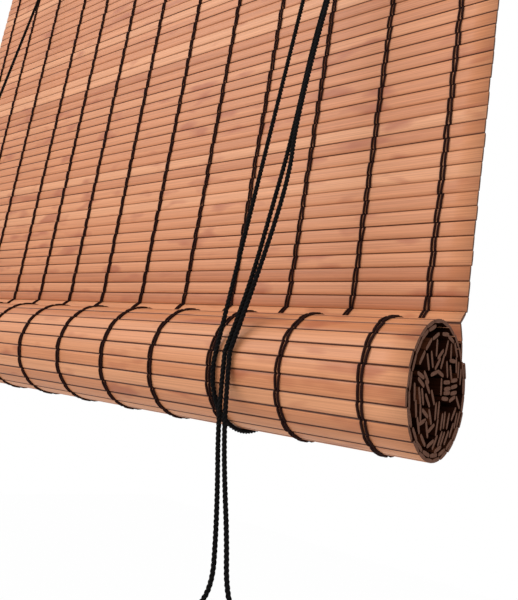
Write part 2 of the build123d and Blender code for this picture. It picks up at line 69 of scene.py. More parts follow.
def makeCamera(settings):
    data = bpy.data.cameras.new("photoCamera")
    data.lens = settings["lens"]
    data.sensor_width = settings["sensor"]
    data.clip_start = settings["nearest"]
    camera = bpy.data.objects.new("photoCamera", data)
    bpy.context.scene.collection.objects.link(camera)
    axes = Matrix((settings["right"], settings["up"], settings["back"])).transposed()
    camera.matrix_world = Matrix.Translation(settings["place"]) @ axes.to_4x4()
    bpy.context.scene.camera = camera


makeCamera(cameraSettings)
print("camera placed")


# Small helpers for node materials
def newMaterial(name, roughness):
    material = bpy.data.materials.new(name)
    material.use_nodes = True
    nodes = material.node_tree.nodes
    shader = nodes["Principled BSDF"]
    shader.inputs["Roughness"].default_value = roughness
    return material, nodes, material.node_tree.links, shader


def namedValue(nodes, name):
    attribute = nodes.new("ShaderNodeAttribute")
    attribute.attribute_name = name
    return attribute.outputs["Fac"]


def stretchedNoise(nodes, links, stretch, detail, shift=None):
    place = nodes.new("ShaderNodeTexCoord")
    mapping = nodes.new("ShaderNodeMapping")
    mapping.inputs["Scale"].default_value = stretch
    links.new(place.outputs["Object"], mapping.inputs["Vector"])
    if shift is not None:
        links.new(shift, mapping.inputs["Location"])
    noise = nodes.new("ShaderNodeTexNoise")
    noise.inputs["Scale"].default_value = 1.0
    noise.inputs["Detail"].default_value = detail
    links.new(mapping.outputs["Vector"], noise.inputs["Vector"])
    return noise.outputs["Fac"]


def colourRamp(nodes, links, value, stops):
    ramp = nodes.new("ShaderNodeValToRGB")
    elements = ramp.color_ramp.elements
    while len(elements) < len(stops):
        elements.new(0.5)
    for element, (position, colour) in zip(elements, stops):
        element.position = position
        element.color = (*colour, 1.0)
    links.new(value, ramp.inputs["Fac"])
    return ramp.outputs["Color"]


def mixColours(nodes, links, share, first, second, mode="MIX"):
    mix = nodes.new("ShaderNodeMix")
    mix.data_type = "RGBA"
    mix.blend_type = mode
    for value, socket in ((share, mix.inputs[0]), (first, mix.inputs[6]), (second, mix.inputs[7])):
        if isinstance(value, bpy.types.NodeSocket):
            links.new(value, socket)
        elif isinstance(value, tuple):
            socket.default_value = (*value, 1.0)
        else:
            socket.default_value = value
    return mix.outputs[2]


def addBump(nodes, links, shader, height, strength, distance):
    bump = nodes.new("ShaderNodeBump")
    bump.inputs["Strength"].default_value = strength
    bump.inputs["Distance"].default_value = distance
    links.new(height, bump.inputs["Height"])
    links.new(bump.outputs["Normal"], shader.inputs["Normal"])


bambooLook = {
    "roughness": 0.5,
    "palette": [(0.0, (0.572, 0.205, 0.082)), (0.4, (0.66, 0.255, 0.110)),
                (0.75, (0.726, 0.305, 0.141)), (1.0, (0.77, 0.348, 0.172))],
    "toneShift": 60.0,  # slats of different tone take their grain from places this far apart
    "grainStretch": (14.0, 1500.0, 1500.0),
    "grainDetail": 4.0,
    "grainStops": [(0.3, (0.72, 0.66, 0.6)), (0.68, (1.1, 1.08, 1.05))],
    "grainShare": 0.75,
    "grainBump": (0.35, 0.0002),
    "patchStretch": (24.0, 70.0, 70.0),
    "patchDetail": 2.0,
    "patchStops": [(0.58, (0.0, 0.0, 0.0)), (0.70, (0.8, 0.8, 0.8))],
    "patchColour": (0.44, 0.125, 0.050),
    # painted shade in the grooves between the slats
    "grooveShadeColour": (0.085, 0.020, 0.006),
}
# Painted shade: near-black bamboo for the faces that lie out of the light
paintedShadeLook = {
    "roughness": 1.0,
    "gloss": 0.0,
    "palette": [(0.0, (0.006, 0.0015, 0.0008)), (0.6, (0.020, 0.006, 0.003)), (1.0, (0.070, 0.022, 0.010))],
    "grainStops": [(0.3, (0.5, 0.45, 0.4)), (0.7, (1.3, 1.25, 1.2))],
    "grainShare": 0.8,
}
slatEndLook = {
    "roughness": 0.9,
    "gloss": 0.1,
    "fibreStretch": (900.0, 2200.0, 2200.0),
    "fibreDetail": 3.0,
    "stops": [(0.35, (0.110, 0.047, 0.029)), (0.7, (0.225, 0.112, 0.075))],
    "bump": (0.5, 0.0002),
}
grainedLook = {"detail": 4.0, "darkAt": 0.3, "lightAt": 0.7, "bump": (0.2, 0.0002)}


def makeBamboo(look):
    material, nodes, links, shader = newMaterial("splitBamboo", look["roughness"])
    tone = namedValue(nodes, "slatTone")
    shift = nodes.new("ShaderNodeCombineXYZ")
    spread = nodes.new("ShaderNodeMath")
    spread.operation = "MULTIPLY"
    spread.inputs[1].default_value = look["toneShift"]
    links.new(tone, spread.inputs[0])
    links.new(spread.outputs[0], shift.inputs["X"])
    base = colourRamp(nodes, links, tone, look["palette"])
    grain = stretchedNoise(nodes, links, look["grainStretch"], look["grainDetail"], shift.outputs[0])
    grainTone = colourRamp(nodes, links, grain, look["grainStops"])
    coloured = mixColours(nodes, links, look["grainShare"], base, grainTone, "MULTIPLY")
    patch = stretchedNoise(nodes, links, look["patchStretch"], look["patchDetail"], shift.outputs[0])
    patchShare = colourRamp(nodes, links, patch, look["patchStops"])
    coloured = mixColours(nodes, links, patchShare, coloured, look["patchColour"])
    # Painted shade: each slat's long edges darkened as by the shade in the grooves between the slats
    coloured = mixColours(nodes, links, namedValue(nodes, "slatGrooveShade"), coloured, look["grooveShadeColour"])
    links.new(coloured, shader.inputs["Base Color"])
    addBump(nodes, links, shader, grain, *look["grainBump"])
    return material


def makePaintedShade(look, grainLook):
    # Painted shade: a near-black, matt copy of the bamboo for the faces that lie inside the roll and the bend
    # face that looks into it, out of the light
    material, nodes, links, shader = newMaterial("paintedShadeBamboo", look["roughness"])
    shader.inputs["Specular IOR Level"].default_value = look["gloss"]
    base = colourRamp(nodes, links, namedValue(nodes, "slatTone"), look["palette"])
    grain = stretchedNoise(nodes, links, grainLook["grainStretch"], grainLook["grainDetail"])
    grainTone = colourRamp(nodes, links, grain, look["grainStops"])
    coloured = mixColours(nodes, links, look["grainShare"], base, grainTone, "MULTIPLY")
    links.new(coloured, shader.inputs["Base Color"])
    addBump(nodes, links, shader, grain, *grainLook["grainBump"])
    return material


def makeSlatEnd(look):
    material, nodes, links, shader = newMaterial("cutBambooEnd", look["roughness"])
    shader.inputs["Specular IOR Level"].default_value = look["gloss"]
    fibre = stretchedNoise(nodes, links, look["fibreStretch"], look["fibreDetail"])
    links.new(colourRamp(nodes, links, fibre, look["stops"]), shader.inputs["Base Color"])
    addBump(nodes, links, shader, fibre, *look["bump"])
    return material


def makeGrained(name, dark, light, roughness, stretch, metallic=0.0, gloss=0.5):
    material, nodes, links, shader = newMaterial(name, roughness)
    shader.inputs["Metallic"].default_value = metallic
    shader.inputs["Specular IOR Level"].default_value = gloss
    grain = stretchedNoise(nodes, links, stretch, grainedLook["detail"])
    stops = [(grainedLook["darkAt"], dark), (grainedLook["lightAt"], light)]
    links.new(colourRamp(nodes, links, grain, stops), shader.inputs["Base Color"])
    addBump(nodes, links, shader, grain, *grainedLook["bump"])
    return material


bamboo = makeBamboo(bambooLook)
slatEnd = makeSlatEnd(slatEndLook)
paintedShadeBamboo = makePaintedShade(paintedShadeLook, bambooLook)
darkThread = makeGrained("darkThread", (0.010, 0.0025, 0.002), (0.034, 0.009, 0.006),
                         0.95, (2500.0,) * 3, gloss=0.15)
blackCord = makeGrained("blackCord", (0.001, 0.001, 0.001), (0.006, 0.005, 0.005),
                        0.9, (2200.0,) * 3, gloss=0.15)
blackTape = makeGrained("blackTape", (0.01, 0.01, 0.011), (0.03, 0.03, 0.032), 0.85, (1800.0,) * 3)
railWood = makeGrained("stainedWood", (0.33, 0.15, 0.07), (0.50, 0.26, 0.13), 0.42, (10.0, 240.0, 240.0))
screwSteel = makeGrained("zincSteel", (0.50, 0.48, 0.45), (0.66, 0.64, 0.60), 0.35, (700.0,) * 3, 1.0)
bronzePaint = makeGrained("bronzePaint", (0.15, 0.09, 0.05), (0.22, 0.14, 0.08), 0.45, (500.0,) * 3, 0.3)
wheelPlastic = makeGrained("wheelPlastic", (0.05, 0.03, 0.022), (0.08, 0.05, 0.035), 0.5, (600.0,) * 3)
camBrass = makeGrained("camBrass", (0.42, 0.30, 0.13), (0.62, 0.47, 0.24), 0.38, (600.0,) * 3, 1.0)
print("materials made")


def newPiece(name, verts, faces, materials, body, slotName, replaced=()):
    mesh = bpy.data.meshes.new(name)
    mesh.from_pydata(verts, [], faces)
    for material in materials:
        mesh.materials.append(material)
    mesh.polygons.foreach_set("use_smooth", [True] * len(mesh.polygons))
    mesh.update()
    piece = bpy.data.objects.new(name, mesh)
    bpy.context.scene.collection.objects.link(piece)
    if body:
        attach(piece, body)
    if replaced:
        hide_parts(*replaced)
    return piece


# Tubes: each ring has its middle and two directions across the tube
def aheadAt(line, i):
    return (line[min(i + 1, len(line) - 1)] - line[max(i - 1, 0)]).normalized()


def addTube(build, rings, radius, sides):
    verts, faces = build
    first = len(verts)
    for middle, across, up in rings:
        for k in range(sides):
            angle = 2 * math.pi * k / sides
            verts.append(middle + (across * math.cos(angle) + up * math.sin(angle)) * radius)
    for i in range(len(rings) - 1):
        for k in range(sides):
            a, b = first + i * sides + k, first + i * sides + (k + 1) % sides
            faces.append((a, b, b + sides, a + sides))
    last = first + (len(rings) - 1) * sides
    faces.append(tuple(first + k for k in reversed(range(sides))))
    faces.append(tuple(last + k for k in range(sides)))


# Cords: three twisted strands that follow a smooth line
rope = {"diameter": 2.6 * mm, "strands": 3, "strandRadius": 0.8 * mm, "strandOffset": 0.62 * mm,
        "pitch": 7.5 * mm, "step": 0.7 * mm, "sides": 6}


def smoothLine(points):
    data = bpy.data.curves.new("line", "CURVE")
    data.dimensions = "3D"
    spline = data.splines.new("NURBS")
    spline.points.add(len(points) - 1)
    for point, place in zip(spline.points, points):
        point.co = (*place, 1.0)
    spline.order_u = 3
    spline.use_endpoint_u = True
    holder = bpy.data.objects.new("line", data)
    bpy.context.scene.collection.objects.link(holder)
    mesh = bpy.data.meshes.new_from_object(holder)
    line = [vertex.co.copy() for vertex in mesh.vertices]
    bpy.data.objects.remove(holder)
    bpy.data.meshes.remove(mesh)
    return line


def evenPoints(line, step):
    lengths = [(b - a).length for a, b in zip(line, line[1:])]
    total = sum(lengths)
    count = max(int(round(total / step)), 2)
    points, index, done = [], 0, 0.0
    for i in range(count + 1):
        target = total * i / count
        while index < len(lengths) - 1 and done + lengths[index] < target:
            done += lengths[index]
            index += 1
        share = (target - done) / max(lengths[index], 1e-9)
        points.append(line[index].lerp(line[index + 1], min(share, 1.0)))
    return points, total


def addRope(build, line):
    points, total = evenPoints(line, rope["step"])
    side, rings = None, []
    for i, place in enumerate(points):
        ahead = aheadAt(points, i)
        if side is None:
            side = ahead.orthogonal().normalized()
        side = (side - ahead * side.dot(ahead)).normalized()
        rings.append((place, side, ahead.cross(side)))
    for strand in range(rope["strands"]):
        strandRings = []
        for i, (place, side, across) in enumerate(rings):
            turns = total * i / (len(rings) - 1) / rope["pitch"] + strand / rope["strands"]
            turn = 2 * math.pi * turns
            out = side * math.cos(turn) + across * math.sin(turn)
            strandRings.append((place + out * rope["strandOffset"], out, out.cross(side.cross(across))))
        addTube(build, strandRings, rope["strandRadius"], rope["sides"])


def makeRope(name, line, body, replaced):
    build = ([], [])
    addRope(build, line)
    return newPiece(name, *build, [blackCord], body, "cord", replaced)


def straight(start, end):
    return [Vector(start), Vector(end)]


# Heads, wheels and roll that the held cords go by
cordPath = {"liftX": 190.5, "pullX": 223.0, "leftPlane": -29.0, "rightPlane": -34.0, "exitZ": -46.0,
            "wheelZ": -37.0, "turnRadius": 7.3, "wheelSteps": 12, "backY": -5.95, "backTop": -34.5,
            "rollY": -41.8, "rollZ": -457.45, "loopRadius": 35.3, "loopSteps": 40,
            "frontPlane": -77.65, "pullStartZ": -452.45, "seamPlay": 0.2}
# Height and sideways stray of each pull cord between the lock and the roll
slackCords = {
    "left": [(-70.0, 0.0), (-140.0, -3.5), (-240.0, -6.0), (-325.0, 1.6), (-365.0, 2.4), (-420.0, 3.6)],
    "right": [(-70.0, 0.0), (-140.0, -1.2), (-240.0, -2.6), (-318.0, 0.6), (-352.0, 7.0), (-420.0, 3.4)],
}


def loopPoint(angle, x):
    turn = math.radians(angle)
    return Vector((x, cordPath["rollY"] + cordPath["loopRadius"] * math.cos(turn),
                   cordPath["rollZ"] + cordPath["loopRadius"] * math.sin(turn))) * mm


def frontAngle(plane):
    # Where the straight front stretch touches the loop
    across, up = plane - cordPath["rollY"], cordPath["exitZ"] - cordPath["rollZ"]
    return math.degrees(math.atan2(up, across)
                        + math.pi / 2 - math.asin(cordPath["loopRadius"] / math.hypot(across, up)))


def overWheels(firstX, plane):
    # Up over the first wheel, along the rail, and down over the last one
    radius, top, steps = cordPath["turnRadius"], cordPath["wheelZ"], cordPath["wheelSteps"]
    lastX = cordPath["pullX"] - radius
    line = [Vector((firstX - radius, plane, cordPath["exitZ"])) * mm]
    for middleX, startTurn in ((firstX, math.pi), (lastX, math.pi / 2)):
        for step in range(steps + 1):
            turn = startTurn - step * math.pi / (2 * steps)
            line.append(Vector((middleX + radius * math.cos(turn), plane, top + radius * math.sin(turn))) * mm)
    line.append(Vector((lastX + radius, plane, cordPath["exitZ"])) * mm)
    return line


def slackLine(word, plane):
    # From the lock down to the roll's front each pull cord strays a little from the straight line.
    top = Vector((cordPath["pullX"], plane, cordPath["exitZ"] - cordPath["seamPlay"]))
    bottom = Vector((pullCords[word]["route"][0][0], cordPath["frontPlane"],
                     cordPath["pullStartZ"] + cordPath["seamPlay"]))
    points = [top]
    for z, stray in slackCords[word]:
        points.append(top.lerp(bottom, (z - top.z) / (bottom.z - top.z)) + Vector((stray, 0, 0)))
    points.append(bottom)
    return smoothLine([point * mm for point in points])


def makeHeldCords():
    top = (cordPath["exitZ"] - cordPath["seamPlay"]) * mm
    backTop = cordPath["backTop"] * mm
    steps = cordPath["loopSteps"]
    for side, word, plane in ((-1, "left", cordPath["leftPlane"]), (1, "right", cordPath["rightPlane"])):
        x = side * cordPath["liftX"]
        start = frontAngle(plane)
        front = makeRope("liftCordFront_" + word, straight((x * mm, plane * mm, top), loopPoint(start, x)),
                         "root", ["lift_cord_front_" + word])
        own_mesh(front)
        arc = [loopPoint(start + (360.0 - start) * i / steps, x) for i in range(steps + 1)]
        makeRope("liftCordLoop_" + word, arc, "carriage", ["lift_cord_loop_" + word])
        back = makeRope("liftCordBack_" + word,
                        straight(loopPoint(0.0, x), (x * mm, cordPath["backY"] * mm, backTop)),
                        "root", ["lift_cord_back_" + word])
        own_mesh(back)
        firstX = x + cordPath["turnRadius"]
        makeRope("railCord_" + word, overWheels(firstX, plane), "root", ["rail_cord_" + word])
        upper = makeRope("pullCordUpper_" + word, slackLine(word, plane), "root",
                         ["pull_cord_upper_" + word])
        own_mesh(upper)


# Free pull cords: down from the roll's front, into their coils, and out to their knots
coil = {"x": 219.0, "z": -596.0, "middle": 14.3, "step": 2.6, "middleRow": 1.5, "pointsPerTurn": 16,
        "tighten": 0.985, "settle": 4, "tailX": 19.9, "tailZ": -612.0, "tailIn": 0.8, "tailBend": 3.0,
        "tailStraight": 9.0, "intoKnot": 2.0}
# Layer and row of each turn of a coil, in the order in which the cord takes them
coilSlots = [(0, 0), (-1, 0), (-1, 1), (-1, 2), (-1, 3), (0, 3), (0, 2), (0, 1), (1, 1), (1, 2), (1, 3)]
pullCords = {
    "left": {"side": -1, "startAngle": 180.0, "coilY": -83.1, "route": [
        (197.5, -77.65, -452.45), (199.9, -77.95, -476.0), (203.2, -78.05, -497.0),
        (207.7, -77.7, -519.0), (211.9, -77.7, -542.0), (215.2, -77.9, -566.0),
        (208.6, -81.9, -580.0), (204.7, -83.05, -592.0)]},
    "right": {"side": 1, "startAngle": 0.0, "coilY": -72.2, "route": [
        (200.9, -77.65, -452.45), (203.4, -77.45, -476.0), (207.2, -77.85, -497.0),
        (212.4, -77.6, -519.0), (218.9, -77.6, -542.0), (223.6, -77.3, -566.0),
        (230.4, -73.6, -580.0), (233.3, -72.25, -592.0)]},
}
knots = {"points": 60, "tailSize": 2.6, "tailDrop": 3.4, "anchorSize": 2.1, "anchorZ": -31.6}


def tailPlace(cord):
    return coil["x"] + cord["side"] * coil["tailX"]


def coilPoints(cord):
    # Each turn lies in its own place of the coil and moves over to the next place near its end.
    points = []
    count = coil["pointsPerTurn"]
    for number, (layer, row) in enumerate(coilSlots):
        following = coilSlots[min(number + 1, len(coilSlots) - 1)]
        for i in range(count):
            if number == 0 and i == 0:
                continue
            share = max(0.0, (i - (count - coil["settle"])) / coil["settle"])
            layerNow = layer + (following[0] - layer) * share
            rowNow = row + (following[1] - row) * share
            radius = (coil["middle"] + layerNow * coil["step"]) / coil["tighten"]
            angle = math.radians(cord["startAngle"] - cord["side"] * 360.0 * i / count)
            y = cord["coilY"] + cord["side"] * (coil["middleRow"] - rowNow) * coil["step"]
            points.append((coil["x"] + radius * math.cos(angle), y, coil["z"] + radius * math.sin(angle)))
    tailX, y = tailPlace(cord), cord["coilY"]
    points.append((tailX - cord["side"] * coil["tailIn"], y, coil["z"] - coil["tailBend"]))
    points.append((tailX, y, coil["z"] - coil["tailStraight"]))
    points.append((tailX, y, coil["tailZ"] - coil["intoKnot"]))
    return points


def knotLine(middle, size):
    # A plain overhand knot with its ends joined
    line = []
    for i in range(knots["points"] + 1):
        t = 2 * math.pi * i / knots["points"]
        line.append(Vector((middle[0] + size * (math.sin(t) + 2 * math.sin(2 * t)) / 3,
                            middle[1] + size * math.sin(3 * t) / 2,
                            middle[2] + size * (math.cos(t) - 2 * math.cos(2 * t)) / 3)) * mm)
    return line


def makePullCord(word, cord):
    points = [Vector(p) * mm for p in cord["route"] + coilPoints(cord)]
    line = smoothLine(points)
    length = sum((b - a).length for a, b in zip(line, line[1:]))
    print("pull cord", word, "is", round(length, 3), "m long")
    knotMiddle = (tailPlace(cord), cord["coilY"], coil["tailZ"] - knots["tailDrop"])
    knot = makeRope("pullKnot_" + word, knotLine(knotMiddle, knots["tailSize"]),
                    "pull_end", ["pull_cord_knot_" + word])
    piece = makeRope("pullCord_" + word, line, None, ["pull_cord_" + word, "pull_cord_coil_" + word])
    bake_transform(piece)


def makeAnchorKnots():
    # One knot under each screw eye behind the mat
    build = ([], [])
    for side in (-1, 1):
        middle = (side * cordPath["liftX"], cordPath["backY"], knots["anchorZ"])
        addRope(build, knotLine(middle, knots["anchorSize"]))
    newPiece("anchorKnots", *build, [blackCord], "root", "cord", ["anchor_knots"])


for word, cord in pullCords.items():
    makePullCord(word, cord)
makeHeldCords()
print("cords made")
makeAnchorKnots()
print("anchor knots made")

# Bamboo slats
slat = {"width": 8.44, "thick": 2.0, "pitch": 8.45, "gap": 0.4, "length": 600.0, "stations": 44,
        "dome": 0.18, "round": 0.6, "endPlay": (-0.45, 0.2), "wave": 0.07, "waveLength": 61.0,
        "phaseSpread": 6.28, "knuckle": 0.12, "knuckleLength": 9.0, "edgeHigh": 0.38,
        "faintGrooveShade": 0.45, "darkGrooveShade": 2.3, "grooveShadeSpread": 1.6, "middleTone": 0.5, "toneSpread": 0.28}
plainFace, endFace, shadedFace = 0, 1, 2  # places of the finishes in each slat piece
mat = {"y": -11.2, "top": -16.0, "hanging": 47, "moving": 28, "clamped": 3, "grouped": 4, "seed": 11}
fixedCount = mat["hanging"] - mat["moving"]


def slatOutline():
    # Place across the slat, height, and share of the painted groove shade at each corner
    half, thick = slat["width"] / 2, slat["thick"] / 2
    points = []
    for side in (1, -1):
        for share in (-1.0, -0.5, 0.0, 0.5, 1.0):
            u = share * (half - slat["round"]) * side
            points.append((u, side * (thick - slat["dome"] * share * share), 0.0))
        for height in (slat["edgeHigh"], -slat["edgeHigh"]):
            points.append((half * side, side * height, 1.0))
    return points


slatSection = slatOutline()


def newBuild():
    # corners, faces, the finish of each face, and for each corner its tone and painted groove shade
    return [], [], [], [], []


def addSlat(build, start, end, rng, widthScale=1.0, shaded=(False, False), shift=0.0, grooveShadeScale=1.0):
    # start and end are the middles of the slat's two long edges, as y and z in millimetres.
    # shaded says whether its first and its second face lie in the dark, and so take the painted-shade finish.
    verts, faces, kinds, tones, grooveShades = build
    along = Vector((end[0] - start[0], end[1] - start[1])).normalized()
    out = Vector((along.y, -along.x))
    middle = Vector(((start[0] + end[0]) / 2, (start[1] + end[1]) / 2))
    low = -slat["length"] / 2 + shift + rng.uniform(*slat["endPlay"])
    high = slat["length"] / 2 + shift + rng.uniform(*slat["endPlay"])
    phase = rng.uniform(0, slat["phaseSpread"])
    tone = min(max(rng.gauss(slat["middleTone"], slat["toneSpread"]), 0.0), 1.0)
    # Painted groove shade, deeper on some slats than on others
    grooveShadeDepth = slat["faintGrooveShade"] + (slat["darkGrooveShade"] - slat["faintGrooveShade"]) * rng.random() ** slat["grooveShadeSpread"]
    grooveShadeDepth *= grooveShadeScale
    knuckle = rng.uniform(low, high)
    first, ring = len(verts), len(slatSection)
    for i in range(slat["stations"] + 1):
        x = low + (high - low) * i / slat["stations"]
        wave = slat["wave"] * math.sin(x / slat["waveLength"] + phase)
        swell = 1 + slat["knuckle"] * math.exp(-((x - knuckle) / slat["knuckleLength"]) ** 2)
        for u, w, edge in slatSection:
            place = middle + along * (u * widthScale) + out * (w * swell + wave)
            verts.append(Vector((x, place.x, place.y)) * mm)
            grooveShades.append(edge * grooveShadeDepth)
    for i in range(slat["stations"]):
        for k in range(ring):
            a, b = first + i * ring + k, first + i * ring + (k + 1) % ring
            faces.append((a, a + ring, b + ring, b))
            kinds.append(shadedFace if shaded[0 if k < ring // 2 - 1 else 1] else plainFace)
    last = first + slat["stations"] * ring
    faces.append(tuple(first + k for k in range(ring)))
    faces.append(tuple(last + k for k in reversed(range(ring))))
    kinds += [endFace, endFace]
    tones += [tone] * ((slat["stations"] + 1) * ring)


def finishSlats(name, build, body, slotName, replaced):
    verts, faces, kinds, tones, grooveShades = build
    piece = newPiece(name, verts, faces, [bamboo, slatEnd, paintedShadeBamboo], body, slotName, replaced)
    piece.data.polygons.foreach_set("material_index", kinds)
    # slatTone holds each slat's tone, and the second attribute the painted groove shade
    for attributeName, values in (("slatTone", tones), ("slatGrooveShade", grooveShades)):
        attribute = piece.data.attributes.new(attributeName, "FLOAT", "POINT")
        attribute.data.foreach_set("value", values)
    for polygon, kind in zip(piece.data.polygons, kinds):
        polygon.use_smooth = kind != endFace
    return piece


def hangingEdges(index):
    top = mat["top"] - (index * slat["pitch"] + slat["gap"] / 2)
    return (mat["y"], top), (mat["y"], top - slat["pitch"] + slat["gap"])


def hangingSlats(numbers, rng):
    build = newBuild()
    for index in numbers:
        addSlat(build, *hangingEdges(index), rng)
    return build


def makeHangingMat():
    rng = random.Random(mat["seed"])
    build = hangingSlats(range(-mat["clamped"], mat["grouped"]), rng)
    finishSlats("headSlats", build, "root", "bamboo", ["head_slats"])
    for index in range(mat["grouped"], fixedCount):
        number = "%02d" % (index - mat["grouped"] + 1)
        finishSlats("slatStrip_" + number, hangingSlats([index], rng), "root", "bamboo", ["slat_" + number])
    build = hangingSlats(range(fixedCount, mat["hanging"]), rng)
    lower = finishSlats("lowerSlats", build, "root", "bamboo", ["lower_slats"])
    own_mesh(lower)


makeHangingMat()
print("hanging mat made")

# The bend and the roll: two turns round the folded end of the mat
# joints says how far in front of the mat and below it each edge of a bend slat lies, and shaded
# counts, from 0, which of these slats has its first face in the dark, with painted shade on it.
bend = {"joints": [(0.3, 0.1), (7.0, 7.1), (2.4, 15.9), (0.3, 24.9)], "shaded": 2, "seed": 37}
# On the roll's outer turn the painted groove shade is deeper than on the hanging mat.
roll = {"radius": 33.9, "y": -41.8, "z": -457.45, "start": 32.0, "sink": 2.5, "sinkFrom": 292.0,
        "sinkTo": 350.0, "end": 634.0, "nearest": 8.0, "farthest": 24.0, "halvings": 40,
        "outerSlats": 24, "foldedWidth": 0.98, "shift": 1.5, "shiftBack": 0.9, "outerGrooveShade": 1.7,
        "seed": 23}
# Middle and lean of each folded slat, as they lie in the end of the roll
foldedSlats = [
    (-9, 24, 30), (1, 27, 8), (9, 26, 170), (-7, 19, 97), (-1, 17, 40), (5, 21, 75), (10, 20, 100),
    (16, 22, 130), (19, 15, 106), (13, 16, 5), (-16, 19, 48), (-21, 12, 55), (-15, 11, 120), (-10, 13, 118),
    (-3, 12, 50), (2, 14, 68), (7, 11, 112), (12, 10, 118), (22, 13, 98), (25, 10, 95), (-7, 7, 20),
    (1, 8, 170), (-21, 4, 170), (-14, 4, 145), (-20, 1, 160), (-12, 0, 142), (3, 2, 100), (9, 5, 8),
    (17, 7, 12), (10, 2, 10), (18, 4, 14), (10, 0, 8), (18, 1, 12), (9, -3, 4), (17, -2, 22),
    (24, -3, 140), (-25, -4, 105), (-20, -5, 118), (-16, -5, 118), (-11, -6, 140), (-5, -4, 130),
    (-22, -11, 110), (-17, -12, 105), (-12, -12, 160), (-13, -16, 20), (-18, -18, 122), (-6, -13, 125),
    (-8, -19, 118), (-3, -18, 30), (0, -10, 95), (3, -9, 92), (21, -9, 55), (24, -12, 75), (7, -14, 85),
    (11, -13, 88), (15, -13, 78), (20, -17, 62), (3, -17, 84), (-11, -24, 145), (-3, -25, 25),
    (2, -24, 55), (7, -22, 62), (11, -22, 60), (15, -21, 58), (6, -27, 20)]


def turnPoint(along):
    # A point of the turns, in degrees along them; the second turn lies inside the first.
    share = min(max((along - roll["sinkFrom"]) / (roll["sinkTo"] - roll["sinkFrom"]), 0.0), 1.0)
    radius = roll["radius"] - slat["thick"] / 2 - roll["sink"] * share
    angle = math.radians(roll["start"] - along)
    return radius * math.cos(angle), radius * math.sin(angle)


def turnJoints():
    # Each joint lies one slat pitch from the one before it.
    along = 0.0
    joints = [turnPoint(along)]
    while along < roll["end"]:
        low, high = along + roll["nearest"], along + roll["farthest"]
        for _ in range(roll["halvings"]):
            middle = (low + high) / 2
            if math.dist(turnPoint(middle), joints[-1]) < slat["pitch"]:
                low = middle
            else:
                high = middle
        along = low
        joints.append(turnPoint(along))
    return joints


def placed(point):
    return point[0] + roll["y"], point[1] + roll["z"]


def slidOut(y):
    # The roll stands out a little at its right end, and more at its back than at its front.
    return roll["shift"] + roll["shiftBack"] * y / roll["radius"]


def makeRoll():
    rng = random.Random(roll["seed"])
    joints = turnJoints()
    build = newBuild()
    # Painted shade on every face that looks into the roll, and on both faces of the second turn and of the
    # folded slats
    for number, (start, end) in enumerate(zip(joints, joints[1:])):
        addSlat(build, placed(start), placed(end), rng, shaded=(True, number >= roll["outerSlats"]),
                shift=slidOut(start[0]), grooveShadeScale=roll["outerGrooveShade"])
    half = (slat["pitch"] - slat["gap"]) / 2
    for y, z, lean in foldedSlats:
        across, up = half * math.cos(math.radians(lean)), half * math.sin(math.radians(lean))
        addSlat(build, placed((y - across, z - up)), placed((y + across, z + up)), rng,
                widthScale=roll["foldedWidth"], shaded=(True, True), shift=slidOut(y))
    finishSlats("rolledMat", build, "rolled_mat", "bamboo_roll", ["roll"])
    return joints


def makeBend():
    rng = random.Random(bend["seed"])
    bottom = mat["top"] - mat["hanging"] * slat["pitch"]
    joints = [(mat["y"] - front, bottom - drop) for front, drop in bend["joints"]]
    build = newBuild()
    for number, (start, end) in enumerate(zip(joints, joints[1:])):
        addSlat(build, start, end, rng, widthScale=math.dist(start, end) / slat["width"],
                shaded=(number == bend["shaded"], False))
    finishSlats("bendSlats", build, "carriage", "bamboo", ["bend_slats"])
    return joints


rollJoints = makeRoll()
bendChain = makeBend()
print("roll made")

# Threads: at each column a pair of strands goes over every slat and dips in between the slats
columns = {"spacing": 46.4, "steps": 6, "stray": {-3: 4.6, 0: -1.8, 1: -0.8, 3: -0.7}}
thread = {"pair": 2.05, "radius": 0.72, "sides": 5, "stagger": 0.26, "lean": 0.32, "jitter": 0.2,
          "stand": 0.6, "seed": 51,
          "profile": [(0.0, 0.15), (0.06, 0.7), (0.16, 1.0), (0.5, 1.1), (0.84, 1.0), (0.94, 0.7), (1.0, 0.15)]}
frontAndBack, outerFace = (1, -1), (-1,)


def addStrand(build, x, start, end, face, rng):
    along = Vector((end[0] - start[0], end[1] - start[1]))
    out = Vector((along.y, -along.x)).normalized() * face
    height = slat["thick"] / 2 + thread["radius"] * thread["stand"]
    lean = rng.uniform(-thread["lean"], thread["lean"])
    line = []
    for share, rise in thread["profile"]:
        spot = Vector(start) + along * share + out * (height * rise)
        line.append(Vector((x + lean * (share - 0.5) * 2, spot.x, spot.y)) * mm)
    rings = []
    for i, place in enumerate(line):
        ahead = aheadAt(line, i)
        across = Vector((1, 0, 0))
        across = (across - ahead * across.dot(ahead)).normalized()
        rings.append((place, across, ahead.cross(across)))
    addTube(build, rings, thread["radius"] * mm, thread["sides"])


def addThreads(build, start, end, number, faceSides, rng):
    for step in range(-columns["steps"], columns["steps"] + 1):
        middle = step * columns["spacing"] + columns["stray"].get(step, 0.0)
        stagger = thread["stagger"] * (1 if number % 2 else -1) + rng.uniform(-1, 1) * thread["jitter"]
        for side in (-1, 1):
            for face in faceSides:
                x = middle + stagger + side * thread["pair"] / 2
                addStrand(build, x, start, end, face, rng)


def wholePitch(index):
    top = mat["top"] - index * slat["pitch"]
    return (mat["y"], top), (mat["y"], top - slat["pitch"])


